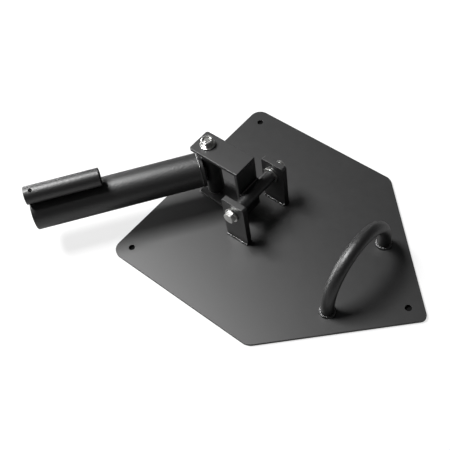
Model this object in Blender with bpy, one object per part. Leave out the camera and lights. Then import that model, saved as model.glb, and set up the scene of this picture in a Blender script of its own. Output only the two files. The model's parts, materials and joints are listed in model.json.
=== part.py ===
"""T-bar row attachment: a welded base plate with a tilting yoke that carries a swivelling bar sleeve.

Metres, +Z up. The origin is on the underside of the base plate, straight below the pivot axis.
-Y is the front, where the bar goes in, and +Y points to the nose of the plate and its carrying handle.
"""

import math

import bmesh
import bpy
from mathutils import Matrix, Vector

MM = 0.001

# Fits
SEAT_GAP = 0.3 * MM
RUNNING_GAP = 0.35 * MM
BOLT_HOLE_PLAY = 1.0 * MM

# Base plate
PLATE_THICKNESS = 5.0 * MM
FRONT_WIDTH = 406.0 * MM
SIDE_TAPER = 3.6 * MM
FRONT_REACH = 161.2 * MM
SHOULDER_DEPTH = 301.0 * MM
NOSE_DEPTH = 495.0 * MM
PLATE_CORNER_RADIUS = 20.0 * MM
NOSE_RADIUS = 11.0 * MM
ANCHOR_HOLE_DIAMETER = 11.0 * MM
ANCHOR_HOLE_INSET = 26.0 * MM
NOSE_HOLE_INSET = 34.6 * MM
EDGE_BREAK = 0.6 * MM

# Pivot lugs
LUG_SPACE = 92.6 * MM
LUG_THICKNESS = 10.0 * MM
LUG_WIDTH = 45.6 * MM
LUG_BEHIND_PIVOT = 26.0 * MM
LUG_OVER_PIVOT = 28.5 * MM
LUG_CORNER_RADIUS = 4.0 * MM

# Carrying handle
HANDLE_FROM_PIVOT = 204.0 * MM
HANDLE_SPAN = 156.6 * MM
HANDLE_LEG = 15.5 * MM
HANDLE_ROD_DIAMETER = 22.0 * MM

# Bolts, nuts and washers
BOLT_DIAMETER = 12.0 * MM
HEX_ACROSS_FLATS = 19.0 * MM
BOLT_HEAD_HEIGHT = 7.5 * MM
NUT_HEIGHT = 10.4 * MM
LOCK_COLLAR_HEIGHT = 4.4 * MM
LOCK_COLLAR_DIAMETER = 18.4 * MM
BOLT_END_PROUD = 1.2 * MM
BOLT_END_INSET = 0.8 * MM
BOLT_END_CHAMFER = 1.6 * MM
WASHER_DIAMETER = 26.0 * MM
WASHER_THICKNESS = 2.5 * MM
THRUST_WASHER_DIAMETER = 28.0 * MM
HEX_CHAMFER = math.radians(30)
HEX_FACE_SHARE = 0.96
HEX_TURNING_MARGIN = 0.1 * MM
COLLAR_SHOULDER_SHARE = 0.3

# Yoke
YOKE_WIDTH = 46.0 * MM
YOKE_HEIGHT = 119.6 * MM
YOKE_PLATE_THICKNESS = 6.0 * MM
YOKE_TIP_RADIUS = 4.5 * MM
SWIVEL_FROM_PIVOT = 91.2 * MM
YOKE_PAST_SWIVEL = 21.8 * MM
PIVOT_TUBE_DIAMETER = 21.3 * MM

# Bar sleeves
SWING_ANGLE = math.radians(53.7)
BUSH_DIAMETER = 30.0 * MM
SLEEVE_RISE = 4.6 * MM
SLEEVE_DIAMETER = 60.0 * MM
SLEEVE_WALL = 3.5 * MM
SLEEVE_REACH = 309.5 * MM
END_PLATE_THICKNESS = 6.0 * MM
SMALL_SLEEVE_DIAMETER = 31.0 * MM
SMALL_SLEEVE_WALL = 2.3 * MM
SMALL_SLEEVE_LENGTH = 125.0 * MM
SCREW_HOLE_DIAMETER = 7.0 * MM
SCREW_HOLE_INSET = 12.0 * MM
SCREW_HOLE_TURN = math.radians(16.0)
TUBE_EDGE_BREAK = 0.7 * MM

# Welds
HANDLE_WELD_LEG = 4.0 * MM
PLATE_WELD_LEG = 3.2 * MM
SMALL_WELD_LEG = 3.0 * MM
STITCH_LENGTH = 30.0 * MM
STITCH_INSET = 6.0 * MM
BEAD_BULGE = 0.12
RING_BEAD_RISE = 0.35
WEDGE_BEAD_REACH = 2.2
WEDGE_BEAD_DEPTH = 0.45
TUBE_BEAD_START = math.radians(125)
TUBE_BEAD_END = math.radians(150)
BUSH_BEAD_START = math.radians(-62)
BUSH_BEAD_END = math.radians(-38)

# Names of the two sides and the two ends
SIDES = ((1, "right"), (-1, "left"))
ENDS = ((1, "top"), (-1, "bottom"))

# Facets of the round shapes
LARGE_SIDES = 64
SMALL_SIDES = 32
ROD_SIDES = 24
BEND_STEPS = 30
CORNER_STEPS = 8
WELD_ROUND_STEPS = 3
EDGE_BREAK_STEPS = 2
SHARP_ANGLE = math.radians(35)
MERGE_DISTANCE = 0.01 * MM
CUT_MARGIN = 5.0 * MM

# Sizes that follow from the ones above
BOLT_RADIUS = BOLT_DIAMETER / 2
BOLT_HOLE_RADIUS = BOLT_RADIUS + BOLT_HOLE_PLAY / 2
HEX_CORNER = HEX_ACROSS_FLATS / math.sqrt(3)
PLATE_TOP = PLATE_THICKNESS
SHOULDER_WIDTH = FRONT_WIDTH - 2 * SIDE_TAPER
YOKE_BOTTOM = PLATE_TOP + SEAT_GAP + BOLT_HEAD_HEIGHT + SEAT_GAP
PIVOT_HEIGHT = YOKE_BOTTOM + YOKE_HEIGHT / 2
LUG_BASE = PLATE_TOP + SEAT_GAP
LUG_HEIGHT = PIVOT_HEIGHT + LUG_OVER_PIVOT - LUG_BASE
LUG_FRONT = LUG_BEHIND_PIVOT - LUG_WIDTH
LUG_INNER_FACE = LUG_SPACE / 2
LUG_OUTER_FACE = LUG_INNER_FACE + LUG_THICKNESS
PIVOT_TUBE_RADIUS = PIVOT_TUBE_DIAMETER / 2
PIVOT_TUBE_LENGTH = LUG_SPACE - 2 * (WASHER_THICKNESS + 2 * SEAT_GAP)
WEB_OUTER_FACE = -(PIVOT_TUBE_RADIUS + SEAT_GAP)
WEB_INNER_FACE = WEB_OUTER_FACE - YOKE_PLATE_THICKNESS
YOKE_TIP = -(SWIVEL_FROM_PIVOT + YOKE_PAST_SWIVEL)
INNER_HALF_HEIGHT = YOKE_HEIGHT / 2 - YOKE_PLATE_THICKNESS
BUSH_RADIUS = BUSH_DIAMETER / 2
BUSH_HALF_LENGTH = INNER_HALF_HEIGHT - WASHER_THICKNESS - 2 * SEAT_GAP
SLEEVE_RADIUS = SLEEVE_DIAMETER / 2
SMALL_SLEEVE_RADIUS = SMALL_SLEEVE_DIAMETER / 2
SMALL_SLEEVE_RISE = SLEEVE_RISE + SLEEVE_RADIUS + SEAT_GAP + SMALL_SLEEVE_RADIUS
END_PLATE_FACE = BUSH_RADIUS + SEAT_GAP
SLEEVE_START = END_PLATE_FACE + END_PLATE_THICKNESS + SEAT_GAP
SMALL_SLEEVE_START = SLEEVE_REACH - SMALL_SLEEVE_LENGTH


# Helpers

def clear_scene():
    for old in list(bpy.data.objects):
        bpy.data.objects.remove(old, do_unlink=True)


def material(name, colour, roughness, metallic):
    """A painted or plated finish."""
    made = bpy.data.materials.new(name)
    made.use_nodes = True
    shader = made.node_tree.nodes["Principled BSDF"]
    shader.inputs["Base Color"].default_value = (*colour, 1.0)
    shader.inputs["Roughness"].default_value = roughness
    shader.inputs["Metallic"].default_value = metallic
    made.diffuse_color = (*colour, 1.0)
    return made


def empty(name, location, parent=None, turn=0.0):
    axis = bpy.data.objects.new(name, None)
    bpy.context.scene.collection.objects.link(axis)
    axis.parent = parent
    axis.location = location
    axis.rotation_euler = (0.0, 0.0, turn)
    return axis


def finish(bm, name, finish_material, parent=None, location=(0.0, 0.0, 0.0)):
    """Turns a bmesh into a named object with outward faces and soft round sides."""
    bmesh.ops.recalc_face_normals(bm, faces=bm.faces)
    mesh = bpy.data.meshes.new(name)
    bm.to_mesh(mesh)
    bm.free()
    mesh.materials.append(finish_material)
    mesh.shade_smooth()
    mesh.set_sharp_from_angle(angle=SHARP_ANGLE)
    made = bpy.data.objects.new(name, mesh)
    bpy.context.scene.collection.objects.link(made)
    made.parent = parent
    made.location = location
    return made


def combine(target, tool, operation):
    """Adds one exact Boolean step. The tool shape stays out of the render and hides in the wire view."""
    tool.hide_render = True
    tool.display_type = "WIRE"
    step = target.modifiers.new(operation.lower(), "BOOLEAN")
    step.object = tool
    step.operation = operation
    step.solver = "EXACT"


def rounded(corners, radii, steps=CORNER_STEPS):
    """Points of a flat outline whose corners are arcs. A radius of zero keeps its corner sharp."""
    points = []
    count = len(corners)
    for index, radius in enumerate(radii):
        corner = Vector(corners[index])
        if radius <= 0.0:
            points.append(corner)
            continue
        back = (Vector(corners[index - 1]) - corner).normalized()
        ahead = (Vector(corners[(index + 1) % count]) - corner).normalized()
        half = back.angle(ahead) / 2
        centre = corner + (back + ahead).normalized() * (radius / math.sin(half))
        start = corner + back * (radius / math.tan(half)) - centre
        sweep = start.angle_signed(corner + ahead * (radius / math.tan(half)) - centre)
        for step in range(steps + 1):
            points.append(centre + Matrix.Rotation(-sweep * step / steps, 2) @ start)
    return points


def slab(outline, thickness, edge_break=0.0):
    """A flat plate on the XY plane, raised by its thickness, with its two rims broken."""
    bm = bmesh.new()
    face = bm.faces.new([bm.verts.new((x, y, 0.0)) for x, y in outline])
    raised = bmesh.ops.extrude_face_region(bm, geom=[face])
    top = [item for item in raised["geom"] if isinstance(item, bmesh.types.BMVert)]
    bmesh.ops.translate(bm, verts=top, vec=(0.0, 0.0, thickness))
    if edge_break > 0.0:
        rims = [e for e in bm.edges if abs(e.verts[0].co.z - e.verts[1].co.z) < thickness / 2]
        bmesh.ops.bevel(
            bm, geom=rims, offset=edge_break, segments=EDGE_BREAK_STEPS, profile=0.5, material=-1, affect="EDGES",
        )
    return bm


def turned(profile, sides, closed=True):
    """A shape turned about Z. The profile is a list of (radius, height) points.

    A closed profile makes a ring. An open one starts and ends on the axis and makes a solid.
    """
    bm = bmesh.new()
    verts = [bm.verts.new((radius, 0.0, height)) for radius, height in profile]
    edges = [bm.edges.new(pair) for pair in zip(verts, verts[1:])]
    if closed:
        edges.append(bm.edges.new((verts[-1], verts[0])))
    bmesh.ops.spin(
        bm, geom=verts + edges, axis=(0, 0, 1), cent=(0, 0, 0), steps=sides, angle=math.tau, use_merge=True,
    )
    bmesh.ops.remove_doubles(bm, verts=bm.verts, dist=MERGE_DISTANCE)
    return bm


def ring_profile(inner, outer, low, high, edge_break=0.0):
    """A ring's section, with its outer and inner edges broken."""
    b = edge_break
    if b <= 0.0:
        return [(inner, low), (outer, low), (outer, high), (inner, high)]
    return [
        (inner + b, low), (outer - b, low), (outer, low + b), (outer, high - b),
        (outer - b, high), (inner + b, high), (inner, high - b), (inner, low + b),
    ]


def rod_profile(radius, low, high, chamfer):
    """A round bar's section from axis to axis, with its far end chamfered."""
    return [(0.0, low), (radius, low), (radius, high - chamfer), (radius - chamfer, high), (0.0, high)]


def moved(bm, matrix):
    bmesh.ops.transform(bm, matrix=matrix, verts=bm.verts)
    return bm


def shifted(bm, x=0.0, y=0.0, z=0.0):
    return moved(bm, Matrix.Translation((x, y, z)))


def along_x(bm):
    """Lays a shape that was made about Z so that it runs along +X."""
    return moved(bm, Matrix.Rotation(math.radians(90), 4, "Y"))


def along_front(bm):
    """Lays a shape that was made about Z so that it runs along -Y."""
    return moved(bm, Matrix.Rotation(math.radians(90), 4, "X"))


def mirrored_x(bm):
    bm = moved(bm, Matrix.Scale(-1, 4, (1, 0, 0)))
    bmesh.ops.reverse_faces(bm, faces=bm.faces)
    return bm


def cutter(name, radius, low, high, parent=None, location=(0.0, 0.0, 0.0), lay=None, sides=SMALL_SIDES):
    bm = turned(rod_profile(radius, low, high, 0.0), sides, closed=False)
    if lay is not None:
        bm = lay(bm)
    return finish(bm, name, STEEL, parent, location)


def hexagon(height):
    """A hexagonal prism from z = 0 up, with two of its flats square to Y."""
    angles = [math.tau * k / 6 for k in range(6)]
    return slab([(HEX_CORNER * math.cos(a), HEX_CORNER * math.sin(a)) for a in angles], height)


def hex_turning(height, both_ends=False):
    """The turned blank that chamfers a hexagon's corners."""
    flat = HEX_ACROSS_FLATS / 2 * HEX_FACE_SHARE
    corner = HEX_CORNER + HEX_TURNING_MARGIN
    drop = (corner - flat) * math.tan(HEX_CHAMFER)
    foot = [(0.0, 0.0), (flat, 0.0), (corner, drop)] if both_ends else [(0.0, 0.0), (corner, 0.0)]
    profile = foot + [(corner, height - drop), (flat, height), (0.0, height)]
    return turned(profile, SMALL_SIDES, closed=False)


def fillet_bar(leg, length):
    """A straight fillet weld along X: it fills the corner of the XY and XZ planes, with a bulging face."""
    start = Vector((leg, 0.0))
    outline = [(0.0, 0.0)]
    for step in range(WELD_ROUND_STEPS + 1):
        share = step / WELD_ROUND_STEPS
        bulge = BEAD_BULGE * leg * math.sin(math.pi * share)
        point = start.lerp(Vector((0.0, leg)), share) + Vector((bulge, bulge))
        outline.append(tuple(point))
    bm = slab(outline, length)
    bm = moved(bm, Matrix(((0, 0, 1, -length / 2), (1, 0, 0, 0), (0, 1, 0, 0), (0, 0, 0, 1))))
    return bm


def fillet_ring(radius, leg, sides):
    """A fillet weld round the foot of a bar that stands on the XY plane."""
    profile = [(radius, 0.0)]
    for step in range(WELD_ROUND_STEPS + 1):
        share = step / WELD_ROUND_STEPS
        bulge = BEAD_BULGE * leg * math.sin(math.pi * share)
        profile.append((radius + leg * (1 - share) + bulge, leg * share + bulge))
    return turned(profile, sides)


# Finishes

def finishes():
    global BLACK, WELD, STEEL
    BLACK = material("black_powder_coat", (0.018, 0.018, 0.019), 0.42, 0.0)
    WELD = material("coated_weld_bead", (0.045, 0.045, 0.046), 0.38, 0.0)
    STEEL = material("bright_zinc", (0.72, 0.72, 0.70), 0.28, 1.0)


# Base

def base_plate():
    front = -FRONT_REACH
    shoulder = front + SHOULDER_DEPTH
    nose = front + NOSE_DEPTH
    corners = [
        (-FRONT_WIDTH / 2, front), (FRONT_WIDTH / 2, front), (SHOULDER_WIDTH / 2, shoulder),
        (0.0, nose), (-SHOULDER_WIDTH / 2, shoulder),
    ]
    side_radii = [PLATE_CORNER_RADIUS] * 3
    outline = rounded(corners, side_radii + [NOSE_RADIUS, PLATE_CORNER_RADIUS])
    plate = finish(slab(outline, PLATE_THICKNESS, EDGE_BREAK), "base_plate", BLACK)
    side = FRONT_WIDTH / 2 - ANCHOR_HOLE_INSET
    places = {
        "right": (side, front + ANCHOR_HOLE_INSET),
        "left": (-side, front + ANCHOR_HOLE_INSET),
        "nose": (0.0, nose - NOSE_HOLE_INSET),
    }
    for place, (x, y) in places.items():
        hole = cutter(
            f"anchor_hole_{place}", ANCHOR_HOLE_DIAMETER / 2, -CUT_MARGIN, PLATE_THICKNESS + CUT_MARGIN,
            location=(x, y, 0.0),
        )
        combine(plate, hole, "DIFFERENCE")


def lug(side, hand):
    """One upright ear, drawn in the YZ plane and raised along X."""
    top = LUG_BASE + LUG_HEIGHT
    corners = [
        (LUG_FRONT, LUG_BASE), (LUG_BEHIND_PIVOT, LUG_BASE), (LUG_BEHIND_PIVOT, top), (LUG_FRONT, top),
    ]
    outline = rounded(corners, [0.0, 0.0, LUG_CORNER_RADIUS, LUG_CORNER_RADIUS])
    bm = slab(outline, LUG_THICKNESS, EDGE_BREAK)
    bm = moved(bm, Matrix(((0, 0, 1, LUG_INNER_FACE), (1, 0, 0, 0), (0, 1, 0, 0), (0, 0, 0, 1))))
    if side < 0:
        bm = mirrored_x(bm)
    name = f"pivot_lug_{hand}"
    ear = finish(bm, name, BLACK)
    middle = side * (LUG_INNER_FACE + LUG_THICKNESS / 2)
    reach = LUG_THICKNESS / 2 + CUT_MARGIN
    hole = cutter(
        f"{name}_hole", BOLT_HOLE_RADIUS, -reach, reach, location=(middle, 0.0, PIVOT_HEIGHT), lay=along_x,
    )
    combine(ear, hole, "DIFFERENCE")


def lug_welds(side, hand):
    """Fillets along the outer and inner foot of a lug."""
    middle = (LUG_FRONT + LUG_BEHIND_PIVOT) / 2
    for place, face, way in (("outer", LUG_OUTER_FACE, 1), ("inner", LUG_INNER_FACE, -1)):
        turn = -90 if side * way > 0 else 90
        bead = moved(fillet_bar(PLATE_WELD_LEG, LUG_WIDTH), Matrix.Rotation(math.radians(turn), 4, "Z"))
        bead = shifted(bead, side * (face + way * SEAT_GAP), middle, PLATE_TOP + SEAT_GAP)
        finish(bead, f"lug_weld_{hand}_{place}", WELD)


def handle():
    """A round rod bent over half a circle, with two short straight legs."""
    radius = HANDLE_SPAN / 2
    foot = PLATE_TOP + SEAT_GAP
    bend = foot + HANDLE_LEG
    bm = bmesh.new()
    circle = bmesh.ops.create_circle(bm, cap_ends=True, radius=HANDLE_ROD_DIAMETER / 2, segments=ROD_SIDES)
    bmesh.ops.translate(bm, verts=circle["verts"], vec=(radius, HANDLE_FROM_PIVOT, foot))
    end = lengthened(bm, bm.faces[:], (0.0, 0.0, HANDLE_LEG))
    swept = bmesh.ops.spin(
        bm, geom=end, cent=(0.0, HANDLE_FROM_PIVOT, bend), axis=(0, 1, 0), angle=-math.pi, steps=BEND_STEPS,
    )
    last = [item for item in swept["geom_last"] if isinstance(item, bmesh.types.BMFace)]
    lengthened(bm, last, (0.0, 0.0, -HANDLE_LEG))
    bmesh.ops.delete(bm, geom=end + last, context="FACES_ONLY")
    finish(bm, "handle", BLACK)


def lengthened(bm, faces, vector):
    """Extrudes an end face along a vector, and gives the new end face."""
    grown = bmesh.ops.extrude_face_region(bm, geom=faces)
    ends = [v for v in grown["geom"] if isinstance(v, bmesh.types.BMVert)]
    bmesh.ops.translate(bm, verts=ends, vec=vector)
    return [f for f in grown["geom"] if isinstance(f, bmesh.types.BMFace)]


def handle_weld(side, hand):
    ring = fillet_ring(HANDLE_ROD_DIAMETER / 2 + SEAT_GAP, HANDLE_WELD_LEG, ROD_SIDES)
    ring = shifted(ring, side * HANDLE_SPAN / 2, HANDLE_FROM_PIVOT, PLATE_TOP + SEAT_GAP)
    finish(ring, f"handle_weld_{hand}", WELD)


# Fasteners

def washer(name, diameter, parent, location, lay=None):
    """A flat washer about Z, centred on its place."""
    half = WASHER_THICKNESS / 2
    bm = turned(ring_profile(BOLT_HOLE_RADIUS, diameter / 2, -half, half), SMALL_SIDES)
    finish(lay(bm) if lay else bm, name, STEEL, parent, location)


def hex_bolt(name, length, parent, location, lay=None):
    """A hexagon bolt about Z. Its head is under z = 0 and its shank runs up to z = length."""
    lay = lay or (lambda bm: bm)
    head = shifted(hexagon(BOLT_HEAD_HEIGHT), z=-BOLT_HEAD_HEIGHT)
    bolt = finish(lay(head), name, STEEL, parent, location)
    blank = moved(hex_turning(BOLT_HEAD_HEIGHT), Matrix.Rotation(math.pi, 4, "X"))
    combine(bolt, finish(lay(blank), f"{name}_head_turning", STEEL, parent, location), "INTERSECT")
    section = rod_profile(BOLT_RADIUS, -BOLT_HEAD_HEIGHT / 2, length, BOLT_END_CHAMFER)
    shank = turned(section, SMALL_SIDES, closed=False)
    combine(bolt, finish(lay(shank), f"{name}_shank", STEEL, parent, location), "UNION")


def nut(name, collar_height, parent, location, lay=None):
    """A hexagon nut about Z, from z = 0 up. A locking nut has a round collar on top."""
    lay = lay or (lambda bm: bm)
    body = finish(lay(hexagon(NUT_HEIGHT)), name, STEEL, parent, location)
    blank = hex_turning(NUT_HEIGHT, both_ends=True)
    combine(body, finish(lay(blank), f"{name}_turning", STEEL, parent, location), "INTERSECT")
    if collar_height > 0.0:
        low = NUT_HEIGHT / 2
        top = NUT_HEIGHT + collar_height
        radius = LOCK_COLLAR_DIAMETER / 2
        rounding = collar_height / 2
        shoulder = COLLAR_SHOULDER_SHARE * rounding
        collar = turned([
            (0.0, low), (radius, low), (radius, top - rounding),
            (radius - shoulder, top - shoulder), (radius - rounding, top), (0.0, top),
        ], SMALL_SIDES, closed=False)
        combine(body, finish(lay(collar), f"{name}_collar", STEEL, parent, location), "UNION")
    reach = NUT_HEIGHT + collar_height + CUT_MARGIN
    bore = turned(rod_profile(BOLT_RADIUS + SEAT_GAP, -CUT_MARGIN, reach, 0.0), SMALL_SIDES, closed=False)
    combine(body, finish(lay(bore), f"{name}_bore", STEEL, parent, location), "DIFFERENCE")


def pivot_fasteners():
    """The pivot bolt goes in from the right lug, and its lock nut is outside the left lug."""
    seat = LUG_OUTER_FACE + SEAT_GAP
    head_seat = seat + WASHER_THICKNESS + SEAT_GAP
    length = 2 * head_seat + NUT_HEIGHT + LOCK_COLLAR_HEIGHT + BOLT_END_PROUD
    to_left = Matrix.Rotation(math.radians(-90), 4, "Y")
    at_right = (head_seat, 0.0, PIVOT_HEIGHT)
    at_left = (-head_seat, 0.0, PIVOT_HEIGHT)
    hex_bolt("pivot_bolt", length, None, at_right, lambda bm: moved(bm, to_left))
    nut("pivot_nut", LOCK_COLLAR_HEIGHT, None, at_left, lambda bm: moved(bm, to_left))
    outer = seat + WASHER_THICKNESS / 2
    inner = LUG_INNER_FACE - SEAT_GAP - WASHER_THICKNESS / 2
    for side, hand in SIDES:
        at_lug = (side * outer, 0.0, PIVOT_HEIGHT)
        washer(f"pivot_washer_{hand}", WASHER_DIAMETER, None, at_lug, along_x)
        in_lug = (side * inner, 0.0, PIVOT_HEIGHT)
        washer(f"pivot_thrust_washer_{hand}", THRUST_WASHER_DIAMETER, None, in_lug, along_x)


def swivel_fasteners(tilt_axis):
    """The swivel bolt comes up from below. Its head rests on the base plate and stops the yoke there."""
    half = YOKE_HEIGHT / 2
    head_seat = -half - SEAT_GAP
    washer_low = half + SEAT_GAP
    nut_low = washer_low + WASHER_THICKNESS + SEAT_GAP
    length = nut_low + NUT_HEIGHT - BOLT_END_INSET - head_seat
    hex_bolt("swivel_bolt", length, tilt_axis, (0.0, -SWIVEL_FROM_PIVOT, head_seat))
    nut("swivel_nut", 0.0, tilt_axis, (0.0, -SWIVEL_FROM_PIVOT, nut_low))
    middle = washer_low + WASHER_THICKNESS / 2
    washer("swivel_washer", WASHER_DIAMETER, tilt_axis, (0.0, -SWIVEL_FROM_PIVOT, middle))
    inner = INNER_HALF_HEIGHT - SEAT_GAP - WASHER_THICKNESS / 2
    for up, end in ENDS:
        at_bush = (0.0, -SWIVEL_FROM_PIVOT, up * inner)
        washer(f"swivel_thrust_washer_{end}", THRUST_WASHER_DIAMETER, tilt_axis, at_bush)


# Yoke

def yoke_plate(name, low, tilt_axis):
    """The top or bottom plate of the yoke, rounded at its tip and drilled for the swivel bolt."""
    half = YOKE_WIDTH / 2
    corners = [(-half, YOKE_TIP), (half, YOKE_TIP), (half, WEB_OUTER_FACE), (-half, WEB_OUTER_FACE)]
    outline = rounded(corners, [YOKE_TIP_RADIUS, YOKE_TIP_RADIUS, 0.0, 0.0])
    bm = shifted(slab(outline, YOKE_PLATE_THICKNESS, EDGE_BREAK), z=low)
    plate = finish(bm, name, BLACK, tilt_axis)
    hole = cutter(
        f"{name}_hole", BOLT_HOLE_RADIUS, low - CUT_MARGIN, low + YOKE_PLATE_THICKNESS + CUT_MARGIN,
        tilt_axis, (0.0, -SWIVEL_FROM_PIVOT, 0.0),
    )
    combine(plate, hole, "DIFFERENCE")


def yoke(tilt_axis):
    yoke_plate("yoke_top_plate", INNER_HALF_HEIGHT, tilt_axis)
    yoke_plate("yoke_bottom_plate", -YOKE_HEIGHT / 2, tilt_axis)
    half = YOKE_WIDTH / 2
    corners = [
        (-half, WEB_INNER_FACE), (half, WEB_INNER_FACE), (half, WEB_OUTER_FACE), (-half, WEB_OUTER_FACE),
    ]
    height = 2 * (INNER_HALF_HEIGHT - SEAT_GAP)
    finish(shifted(slab(corners, height, EDGE_BREAK), z=-height / 2), "yoke_web", BLACK, tilt_axis)
    end = PIVOT_TUBE_LENGTH / 2
    tube = ring_profile(BOLT_RADIUS + RUNNING_GAP, PIVOT_TUBE_RADIUS, -end, end, EDGE_BREAK)
    finish(along_x(turned(tube, SMALL_SIDES)), "pivot_tube", BLACK, tilt_axis)


def yoke_welds(tilt_axis):
    """Fillets in the yoke's two inner corners, and one above and one below the pivot tube."""
    for up, end in ENDS:
        turn = 180 if up > 0 else 90
        corner = moved(fillet_bar(PLATE_WELD_LEG, YOKE_WIDTH), Matrix.Rotation(math.radians(turn), 4, "X"))
        corner = shifted(corner, y=WEB_INNER_FACE - SEAT_GAP, z=up * (INNER_HALF_HEIGHT - SEAT_GAP))
        finish(corner, f"yoke_weld_{end}", WELD, tilt_axis)
        finish(tube_weld(up), f"pivot_tube_weld_{end}", WELD, tilt_axis)


def tube_weld(up):
    """A bead in the wedge between the web and the pivot tube."""
    web_side = WEB_OUTER_FACE + SEAT_GAP
    outer = PIVOT_TUBE_RADIUS + SEAT_GAP
    outline = []
    for step in range(WELD_ROUND_STEPS + 1):
        angle = TUBE_BEAD_START + (TUBE_BEAD_END - TUBE_BEAD_START) * step / WELD_ROUND_STEPS
        outline.append((outer * math.cos(angle), outer * math.sin(angle)))
    low = outline[-1][1] + (outline[-1][0] - web_side)
    high = outline[0][1] + SMALL_WELD_LEG
    outline += [(web_side, max(low, SEAT_GAP)), (web_side, high)]
    bm = slab(outline, YOKE_WIDTH)
    bm = moved(bm, Matrix(((0, 0, 1, -YOKE_WIDTH / 2), (1, 0, 0, 0), (0, 1, 0, 0), (0, 0, 0, 1))))
    if up < 0:
        bm = moved(bm, Matrix.Scale(-1, 4, (0, 0, 1)))
    return bm


# Bar sleeves

def swivel_bush(swing_axis):
    end = BUSH_HALF_LENGTH
    bush = ring_profile(BOLT_RADIUS + RUNNING_GAP, BUSH_RADIUS, -end, end, EDGE_BREAK)
    finish(turned(bush, SMALL_SIDES), "swivel_bush", BLACK, swing_axis)


def sleeve_tube(name, diameter, wall, start, end, rise, swing_axis, sides):
    """A tube laid forwards from the swivel axis, open at its far end."""
    section = ring_profile(diameter / 2 - wall, diameter / 2, start, end, TUBE_EDGE_BREAK)
    return finish(shifted(along_front(turned(section, sides)), z=rise), name, BLACK, swing_axis)


def bar_sleeves(swing_axis):
    disc = turned([
        (0.0, END_PLATE_FACE), (SLEEVE_RADIUS - EDGE_BREAK, END_PLATE_FACE),
        (SLEEVE_RADIUS, END_PLATE_FACE + EDGE_BREAK), (SLEEVE_RADIUS, END_PLATE_FACE + END_PLATE_THICKNESS),
        (0.0, END_PLATE_FACE + END_PLATE_THICKNESS),
    ], LARGE_SIDES, closed=False)
    finish(shifted(along_front(disc), z=SLEEVE_RISE), "sleeve_end_plate", BLACK, swing_axis)
    sleeve_tube(
        "bar_sleeve", SLEEVE_DIAMETER, SLEEVE_WALL, SLEEVE_START, SLEEVE_REACH, SLEEVE_RISE,
        swing_axis, LARGE_SIDES,
    )
    small = sleeve_tube(
        "small_bar_sleeve", SMALL_SLEEVE_DIAMETER, SMALL_SLEEVE_WALL, SMALL_SLEEVE_START, SLEEVE_REACH,
        SMALL_SLEEVE_RISE, swing_axis, SMALL_SIDES,
    )
    place = (0.0, -SLEEVE_REACH + SCREW_HOLE_INSET, SMALL_SLEEVE_RISE)
    hole = cutter(
        "clamp_screw_hole", SCREW_HOLE_DIAMETER / 2, 0.0, SMALL_SLEEVE_RADIUS + CUT_MARGIN,
        swing_axis, place,
        lambda bm: moved(bm, Matrix.Rotation(SCREW_HOLE_TURN, 4, "Y")),
    )
    combine(small, hole, "DIFFERENCE")


def wedge_bead(low_radius, high_radius, side, length):
    """A bead between two round tubes that touch, one straight above the other, along Z from z = 0.

    The lower tube's centre is the origin and +Y is up. side is +1 or -1.
    """
    lower = low_radius + SEAT_GAP
    upper = high_radius + SEAT_GAP
    centre = low_radius + SEAT_GAP + high_radius
    reach = SMALL_WELD_LEG * WEDGE_BEAD_REACH
    outline = []
    for step in range(WELD_ROUND_STEPS + 1):
        x = reach * (1 - WEDGE_BEAD_DEPTH * step / WELD_ROUND_STEPS)
        outline.append((x, math.sqrt(lower ** 2 - x ** 2)))
    for step in range(WELD_ROUND_STEPS, -1, -1):
        x = reach * (1 - WEDGE_BEAD_DEPTH * step / WELD_ROUND_STEPS)
        outline.append((x, centre - math.sqrt(upper ** 2 - x ** 2)))
    bm = slab([(side * x, y) for x, y in outline], length)
    return bm


def sleeve_welds(swing_axis):
    """A ring round the sleeve's closed end, two beads down the bush, and stitches under the small sleeve."""
    seam = END_PLATE_FACE + END_PLATE_THICKNESS
    rise = RING_BEAD_RISE * SMALL_WELD_LEG
    low = SLEEVE_RADIUS + SEAT_GAP
    ring = turned([
        (low, seam - SMALL_WELD_LEG / 2), (low + rise, seam - SMALL_WELD_LEG / 4),
        (low + rise, seam + SMALL_WELD_LEG / 4), (low, seam + SMALL_WELD_LEG / 2),
    ], LARGE_SIDES)
    finish(shifted(along_front(ring), z=SLEEVE_RISE), "sleeve_end_weld", WELD, swing_axis)
    starts = {"near": SMALL_SLEEVE_START + STITCH_INSET, "far": SLEEVE_REACH - STITCH_INSET - STITCH_LENGTH}
    for side, hand in SIDES:
        finish(bush_bead(side), f"bush_weld_{hand}", WELD, swing_axis)
        for place, start in starts.items():
            stitch = wedge_bead(SLEEVE_RADIUS, SMALL_SLEEVE_RADIUS, side, STITCH_LENGTH)
            stitch = shifted(along_front(shifted(stitch, z=start)), z=SLEEVE_RISE)
            finish(stitch, f"small_sleeve_weld_{hand}_{place}", WELD, swing_axis)


def bush_bead(side):
    """A vertical bead in the wedge between the bush and the end plate."""
    outer = BUSH_RADIUS + SEAT_GAP
    plate = -(END_PLATE_FACE - SEAT_GAP)
    outline = []
    for step in range(WELD_ROUND_STEPS + 1):
        angle = BUSH_BEAD_START + (BUSH_BEAD_END - BUSH_BEAD_START) * step / WELD_ROUND_STEPS
        outline.append((outer * math.cos(angle), outer * math.sin(angle)))
    outline = [(outline[0][0], plate)] + outline + [(outline[-1][0] + SMALL_WELD_LEG / 2, plate)]
    height = SLEEVE_RADIUS
    bm = slab([(side * x, y) for x, y in outline], height)
    return shifted(bm, z=SLEEVE_RISE - height / 2)


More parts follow.
